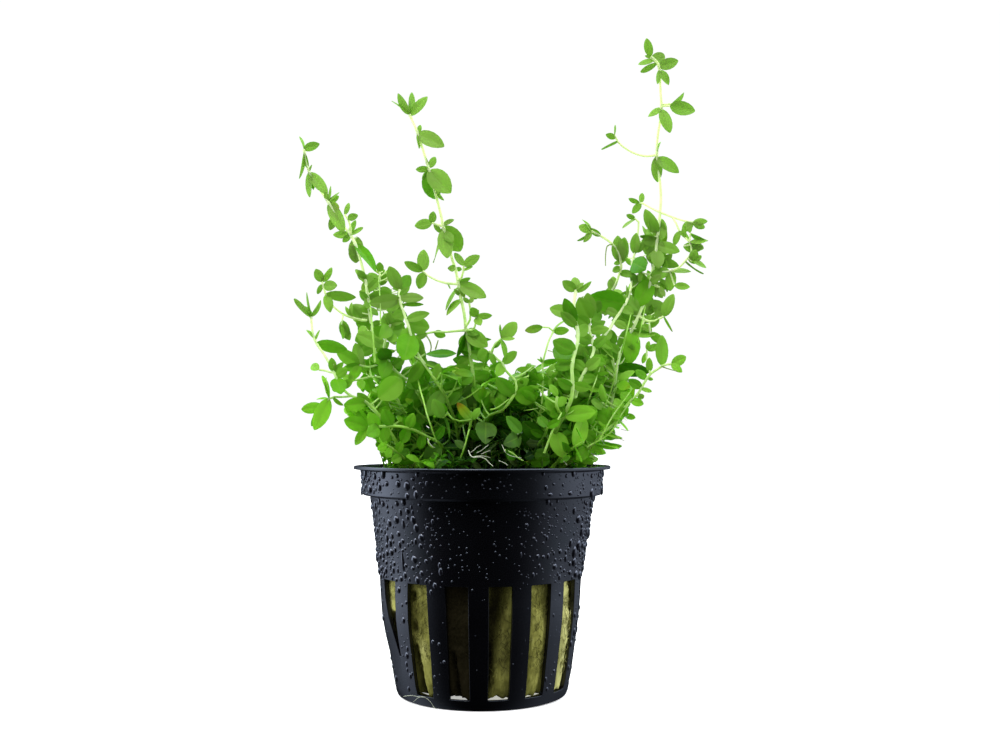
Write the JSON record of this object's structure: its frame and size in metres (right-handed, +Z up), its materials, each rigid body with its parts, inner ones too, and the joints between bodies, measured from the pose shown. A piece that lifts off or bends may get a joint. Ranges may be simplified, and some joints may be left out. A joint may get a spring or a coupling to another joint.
{
  "type": "potted pearlweed",
  "caption": "Small aquarium plant with thin forked stems and small paired oval leaves, growing from a plug of mineral wool in a round slotted net pot.",
  "frame": {"origin": "centre of the hub disc on the underside of the pot, which is the plane that the pot stands on", "axes": "+Z up along the pot's axis, +X to the right as seen from the front, the front faces -Y"},
  "size_m": [0.0875, 0.0649, 0.1399],
  "materials": {
    "pot": "black moulded plastic, wet and glossy",
    "wool": "olive mineral wool, fibrous and matt",
    "plant": "fresh green leaf, thin and slightly glossy"
  },
  "bodies": {
    "root": {"net_pot": "pot", "rockwool": "wool", "right_tall_stem": "plant", "right_long_fork": "plant", "right_fork": "plant", "thick_right_stem": "plant", "back_right_shoot": "plant", "curved_shoot": "plant", "middle_tall_stem": "plant", "inner_left_stem": "plant", "left_cluster_stem": "plant", "left_tall_stem": "plant", "left_fork": "plant", "far_left_stem": "plant", "arching_stem": "plant", "brown_tipped_shoot": "plant", "short_front_stem": "plant", "low_right_stem": "plant", "low_left_stem": "plant", "back_stem_left": "plant", "back_stem_middle": "plant", "back_stem_right": "plant", "back_stem_far_left": "plant", "back_stem_far_right": "plant", "back_stem_low_left": "plant", "back_stem_low_right": "plant", "back_stem_low_middle": "plant", "side_stem_left": "plant", "side_stem_right": "plant", "inner_stem_left": "plant", "inner_stem_right": "plant", "inner_stem_far_right": "plant", "inner_stem_far_left": "plant", "front_stem_middle": "plant", "front_stem_left": "plant", "front_stem_right": "plant"}
  },
  "joints": []
}
